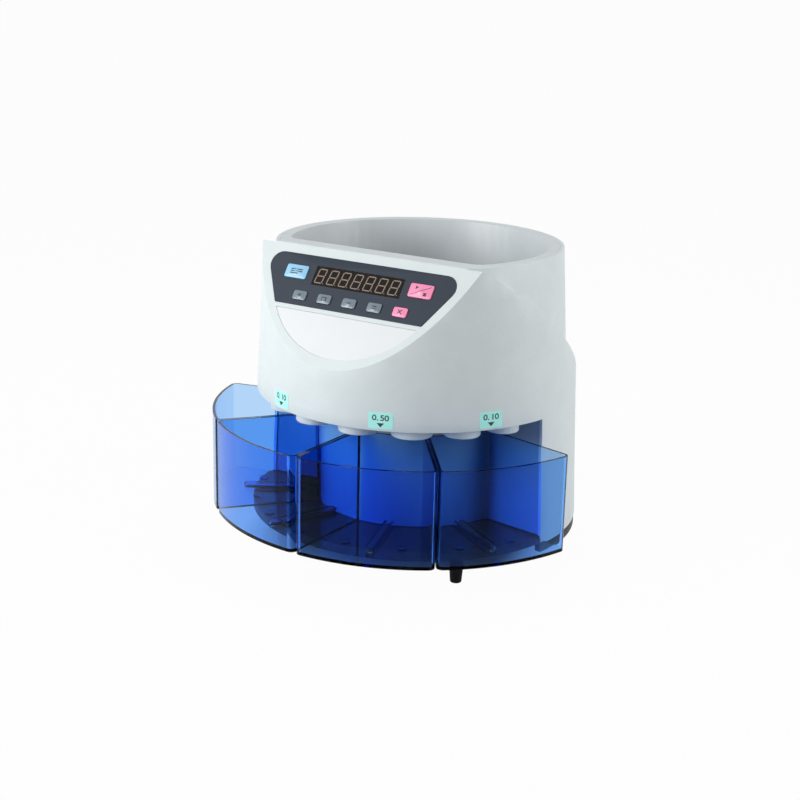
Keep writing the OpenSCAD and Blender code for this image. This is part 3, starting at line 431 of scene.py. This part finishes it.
def cap_outline(size):
    """Points round a key's rounded rectangle, evenly by angle from its middle."""
    points = []
    half_x, half_y = size[0] / 2, size[1] / 2
    corner_x, corner_y = half_x - KEY_CORNER, half_y - KEY_CORNER
    for i in range(CAP_POINTS):
        angle = 2 * math.pi * i / CAP_POINTS
        c, s = math.cos(angle), math.sin(angle)
        reach = min(half_x / max(abs(c), LEAST), half_y / max(abs(s), LEAST))
        x, y = c * reach, s * reach
        if abs(x) > corner_x and abs(y) > corner_y:
            middle_x, middle_y = math.copysign(corner_x, x), math.copysign(corner_y, y)
            share = KEY_CORNER / math.hypot(x - middle_x, y - middle_y)
            x, y = middle_x + (x - middle_x) * share, middle_y + (y - middle_y) * share
        points.append((x, y))
    return points


def drawn_in(outline, size, inset):
    """An outline made smaller by an inset on all sides."""
    return [(x * (1 - 2 * inset / size[0]), y * (1 - 2 * inset / size[1])) for x, y in outline]


def dome_height(x, y):
    """Height of the cap's face over its flat part."""
    t = min(1.0, math.hypot(x, y) / DOME_R)
    return DOME_RISE * (1 - t * t)


def dome_ring(outline, share):
    """A ring of the dome, at a share of its radius, with a point for each of the outline's."""
    ring = []
    for x, y in outline:
        away = math.hypot(x, y)
        ring_x, ring_y = x / away * DOME_R * share, y / away * DOME_R * share
        ring.append((ring_x, ring_y, CAP_RISE + dome_height(ring_x, ring_y)))
    return ring


def key_cap(name, u, v, size, slot):
    """A key's cap: rings of points from its foot over the rounded edge to the top of the dome."""
    bm = bmesh.new()
    outline = cap_outline(size)
    rounded = drawn_in(outline, size, CAP_EDGE * ROUND_IN)
    top = drawn_in(outline, size, CAP_EDGE)
    edge = [(outline, -CAP_SINK), (outline, 0), (rounded, CAP_RISE * ROUND_UP), (top, CAP_RISE)]
    rings = [[(x, y, height) for x, y in points] for points, height in edge]
    rings += [dome_ring(outline, share) for share in DOME_RINGS]
    levels = [[bm.verts.new(on_panel(u + x, v - y, KEY_PROUD + h)) for x, y, h in ring] for ring in rings]
    for low, high in zip(levels, levels[1:]):
        for i in range(CAP_POINTS):
            j = (i + 1) % CAP_POINTS
            bm.faces.new((low[i], low[j], high[j], high[i]))
    bm.faces.new(levels[-1])
    bm.faces.new(levels[0][::-1])
    mesh = closed_mesh(name, bm)
    mesh.polygons.foreach_set("use_smooth", [True] * len(mesh.polygons))
    piece(name + "_cap", mesh, slot, name)


def key_sign(name, u, v, grids):
    """A key's sign, printed on its cap."""
    def on_cap(x, y, height):
        return on_panel(u + x, v - y, KEY_PROUD + CAP_RISE + dome_height(x, y) + height)

    bm = bmesh.new()
    for grid in grids:
        sheet(bm, [[(x * MM, y * MM) for x, y in row] for row in grid], on_cap, -PRINT_SINK, SIGN_LIFT)
    piece(name + "_sign", closed_mesh(name, bm), "print_dark", name)


# Signs in millimetres from the middle of each key
SIGNS = {
    "mode_key": [bar((-6, 1.9), (6, 1.9), 1.0), bar((-6, 0), (6, 0), 1.0), bar((-6, -1.9), (2, -1.9), 1.0)],
    "grey_key_1": [bar((-1.9, 0), (1.9, 0), 1.0), bar((0, -1.9), (0, 1.9), 1.0)],
    "grey_key_2": [bar((-2.2, 1.3), (2.2, 1.3), 0.9), bar((-2.2, -1.3), (2.2, -1.3), 0.9),
                   bar((-2.2, -1.7), (-2.2, 1.7), 0.9), bar((2.2, -1.7), (2.2, 1.7), 0.9)],
    "grey_key_3": [bar((-1.9, 0), (1.9, 0), 1.0)],
    "grey_key_4": [bar((-2.2, 1), (2.2, 1), 1.0), bar((-2.2, -1), (2.2, -1), 1.0)],
    "clear_key": [bar((-1.8, -1.8), (1.8, 1.8), 0.9), bar((-1.8, 1.8), (1.8, -1.8), 0.9)],
    "start_stop_key": [bar((-9, -4.4), (9, 4.4), 0.5, 24), triangle((-2.8, 2.6), (-5.6, 4.2), (-5.6, 1.0)),
                       bar((3.2, -2.7), (6.2, -2.7), 3.0)],
}

# The large keys lie to the left and to the right of the window, and the small ones in a row below it
LARGE_SIDE = {"mode_key": -1, "start_stop_key": 1}
small_keys = [name for name in SIGNS if name not in LARGE_SIDE]

for name, grids in SIGNS.items():
    if name in LARGE_SIDE:
        size = KEY_LARGE
        u, v = LARGE_SIDE[name] * KEY_LARGE_U, KEY_LARGE_V
    else:
        size = KEY_SMALL
        u, v = (small_keys.index(name) - (len(small_keys) - 1) / 2) * KEY_PITCH, KEY_SMALL_V
    key_cap(name, u, v, size, slot_of[name])
    key_sign(name, u, v, grids)

# Labels: one over each drawer, with plain numbers and a mark that points down to it
VALUES = ("0.50", "0.10", "0.50", "0.10")
LABEL_ANGLES = (-58, -20.8, 20.8, 58)
LABEL_W = 20.7 * MM
LABEL_LOW = 143.7 * MM
LABEL_HIGH = 157.5 * MM
LABEL_CORNER = 1.6 * MM
LABEL_T = 0.15 * MM
LABEL_COLUMNS = 24
PRINT_T = 0.05 * MM
FIGURE_SIZE = 6.6 * MM
FIGURE_WIDEN = 1.2
FIGURE_BOLD = 0.12 * MM
FIGURE_LIFT = PRINT_T / 4
FIGURE_Z = LABEL_LOW + 7.1 * MM
FIGURE_PLACES = (-5.3 * MM, -2.5 * MM, 1.5 * MM, 5.2 * MM)
MARK_LOW = LABEL_LOW + 1.4 * MM
MARK_HIGH = LABEL_LOW + 4.9 * MM
MARK_HALF = 3.1 * MM


def label_grid():
    """Grid of places over a label with round corners, closer together towards its sides."""
    low, high = [], []
    half = LABEL_W / 2
    for i in range(LABEL_COLUMNS + 1):
        x = -half * math.cos(math.pi * i / LABEL_COLUMNS)
        over = max(0.0, abs(x) - (half - LABEL_CORNER))
        drop = LABEL_CORNER - math.sqrt(max(0.0, LABEL_CORNER ** 2 - over ** 2))
        low.append((x, LABEL_LOW + drop))
        high.append((x, LABEL_HIGH - drop))
    return [low, high]


def figure_mesh(figure):
    """A thin mesh of one figure in the standard font, with its foot's middle at the origin."""
    curve = bpy.data.curves.new("figures", "FONT")
    curve.body = figure
    curve.size = FIGURE_SIZE
    curve.offset = FIGURE_BOLD
    curve.align_x = "CENTER"
    curve.align_y = "BOTTOM_BASELINE"
    curve.extrude = PRINT_T / 2
    holder = in_scene("figures", curve)
    bpy.context.view_layer.update()
    mesh = bpy.data.meshes.new_from_object(holder.evaluated_get(bpy.context.evaluated_depsgraph_get()))
    bpy.data.objects.remove(holder)
    return mesh


def value_label(number, value, angle):
    """A label bent round the housing, its figures and its mark."""
    def on_label(x, z, height):
        return on_housing(math.radians(angle) + x / BODY_R, z, height)

    bm = bmesh.new()
    sheet(bm, label_grid(), on_label, -FILM_SINK, LABEL_T)
    piece(f"value_label_{number}", closed_mesh("label", bm), "label_aqua", "machine")

    bm = bmesh.new()
    for figure, middle in zip(value, FIGURE_PLACES):
        glyph = figure_mesh(figure)
        for vertex in glyph.vertices:
            x, y, h = vertex.co
            vertex.co = on_label(middle + x * FIGURE_WIDEN, FIGURE_Z + y, LABEL_T + h + FIGURE_LIFT)
        bm.from_mesh(glyph)
    figures = bpy.data.meshes.new("figures")
    bm.to_mesh(figures)
    bm.free()
    piece(f"label_figures_{number}", figures, "print_dark", "machine")

    bm = bmesh.new()
    mark = triangle((0, MARK_LOW), (-MARK_HALF, MARK_HIGH), (MARK_HALF, MARK_HIGH))
    sheet(bm, mark, on_label, LABEL_T - PRINT_SINK, LABEL_T + PRINT_T)
    piece(f"label_mark_{number}", closed_mesh("mark", bm), "print_dark", "machine")


for number, (value, angle) in enumerate(zip(VALUES, LABEL_ANGLES), 1):
    value_label(number, value, angle)

# Floor and surroundings: white where they are seen, and dim as a light, since the lamps light the part
FLOOR_SIZE = 120.0
FLOOR_GREY = (0.62, 0.62, 0.62, 1)
FLOOR_ROUGH = 0.8
FLOOR_GLOW = 0.97
# Within this distance of the floor's middle, the floor seen through clear pieces gets no glow: real lamp
# shadow, plus painted shade where it is lit
SHADE_REACH = (0.10, 0.15)
AMBIENT = 0.16
WHITE = (1, 1, 1, 1)
BEFORE_BOUNCE = 0.5


def maths(tree, operation, first, second):
    """A node that joins two values; the second may be a plain number."""
    node = tree.nodes.new("ShaderNodeMath")
    node.operation = operation
    wire(tree, first, node.inputs[0])
    if isinstance(second, float):
        node.inputs[1].default_value = second
    else:
        wire(tree, second, node.inputs[1])
    return node.outputs["Value"]


def seen(tree):
    """Two values: one for rays from the camera and from gloss, and one for rays through clear plastic.
    Both are nought after a matt surface, which the lamps and the dim surroundings light."""
    path = tree.nodes.new("ShaderNodeLightPath")
    unscattered = maths(tree, "LESS_THAN", path.outputs["Diffuse Depth"], BEFORE_BOUNCE)
    through = path.outputs["Is Transmission Ray"]
    mirrored = maths(tree, "SUBTRACT", path.outputs["Is Glossy Ray"], through)
    direct = maths(tree, "MAXIMUM", path.outputs["Is Camera Ray"], mirrored)
    return maths(tree, "MULTIPLY", direct, unscattered), maths(tree, "MULTIPLY", through, unscattered)


def away_from_part(tree):
    """Nought under the part and one a little way off. Through clear pieces the floor near the part loses its
    glow: this shows the lamps' real shadow under it, and also paints shade there where the floor is lit.
    """
    length = tree.nodes.new("ShaderNodeVectorMath")
    length.operation = "LENGTH"
    wire(tree, place_of(tree), length.inputs[0])
    node = add(tree, "ShaderNodeMapRange", From_Min=SHADE_REACH[0], From_Max=SHADE_REACH[1])
    wire(tree, length.outputs["Value"], node.inputs["Value"])
    return node.outputs["Result"]


def floor_look():
    """Grey to the light, so that it takes shadows, and glowing white where it is seen."""
    made, tree, shader = start("floor_white")
    put(shader, Base_Color=FLOOR_GREY, Roughness=FLOOR_ROUGH)
    glow = add(tree, "ShaderNodeEmission", Strength=1.0)
    direct, through = seen(tree)
    # Through clear pieces the glow fades out near the part: partly real lamp shadow, partly painted shade
    share = maths(tree, "MAXIMUM", direct, maths(tree, "MULTIPLY", through, away_from_part(tree)))
    share = maths(tree, "MULTIPLY", share, FLOOR_GLOW)
    blended(tree, share, shader.outputs["BSDF"], glow.outputs["Emission"])
    return made


reach = FLOOR_SIZE / 2
floor_corners = [(-reach, -reach, 0), (reach, -reach, 0), (reach, reach, 0), (-reach, reach, 0)]
floor_mesh = bpy.data.meshes.new("floor")
floor_mesh.from_pydata(floor_corners, [], [(0, 1, 2, 3)])
floor_mesh.materials.append(floor_look())
floor = in_scene("floor", floor_mesh)

world = bpy.data.worlds.new("studio")
scene.world = world
world.use_nodes = True
tree = world.node_tree
level = add(tree, "ShaderNodeMapRange", To_Min=AMBIENT, To_Max=1.0)
wire(tree, maths(tree, "MAXIMUM", *seen(tree)), level.inputs["Value"])
backdrop = put(tree.nodes["Background"], Color=WHITE)
wire(tree, level.outputs["Result"], backdrop.inputs["Strength"])

# Lamps: soft boxes that face the middle of the machine
LIT_PLACE = Vector((0, AXIS_Y, 0.15))
SOFTBOXES = {
    "left_softbox": dict(place=(-0.93, -1.33, 0.70), size=(1.0, 0.9), power=26),
    "right_softbox": dict(place=(1.57, 0.42, 0.74), size=(0.8, 1.0), power=15),
    "top_softbox": dict(place=(0.1, 0.1, 1.6), size=(1.2, 1.2), power=6),
}


def soft_light(name, place, size, power):
    """A rectangular lamp that faces the machine."""
    lamp = bpy.data.lights.new(name, "AREA")
    lamp.shape = "RECTANGLE"
    lamp.size, lamp.size_y = size
    lamp.energy = power
    holder = in_scene(name, lamp)
    holder.location = place
    holder.rotation_euler = (LIT_PLACE - Vector(place)).to_track_quat("-Z", "Y").to_euler()


for name, values in SOFTBOXES.items():
    soft_light(name, **values)

# Camera fitted to the photograph
CAMERA_TURN = math.radians(32.976)
CAMERA_RISE = math.radians(16.487)
CAMERA_ROLL = math.radians(1.336)
CAMERA_AWAY = 1.340
CAMERA_LENS = 66.61
SENSOR_W = 36
CLIP_END = 200
TARGET_SIDE = -14.6 * MM
TARGET_Z = 127.37 * MM

level_front = Vector((math.sin(CAMERA_TURN), -math.cos(CAMERA_TURN), 0))
back = level_front * math.cos(CAMERA_RISE) + Vector((0, 0, math.sin(CAMERA_RISE)))
right = Vector((math.cos(CAMERA_TURN), math.sin(CAMERA_TURN), 0))
up = back.cross(right)
rolled_right = right * math.cos(CAMERA_ROLL) + up * math.sin(CAMERA_ROLL)
rolled_up = up * math.cos(CAMERA_ROLL) - right * math.sin(CAMERA_ROLL)
camera_place = Vector((0, AXIS_Y, TARGET_Z)) + right * TARGET_SIDE + back * CAMERA_AWAY
turn = Matrix((rolled_right, rolled_up, back)).transposed().to_4x4()
lens = bpy.data.cameras.new("camera")
lens.sensor_width = SENSOR_W
lens.lens = CAMERA_LENS
lens.clip_end = CLIP_END
camera = in_scene("camera", lens)
camera.matrix_world = Matrix.Translation(camera_place) @ turn
scene.camera = camera
scene.view_settings.view_transform = "Standard"
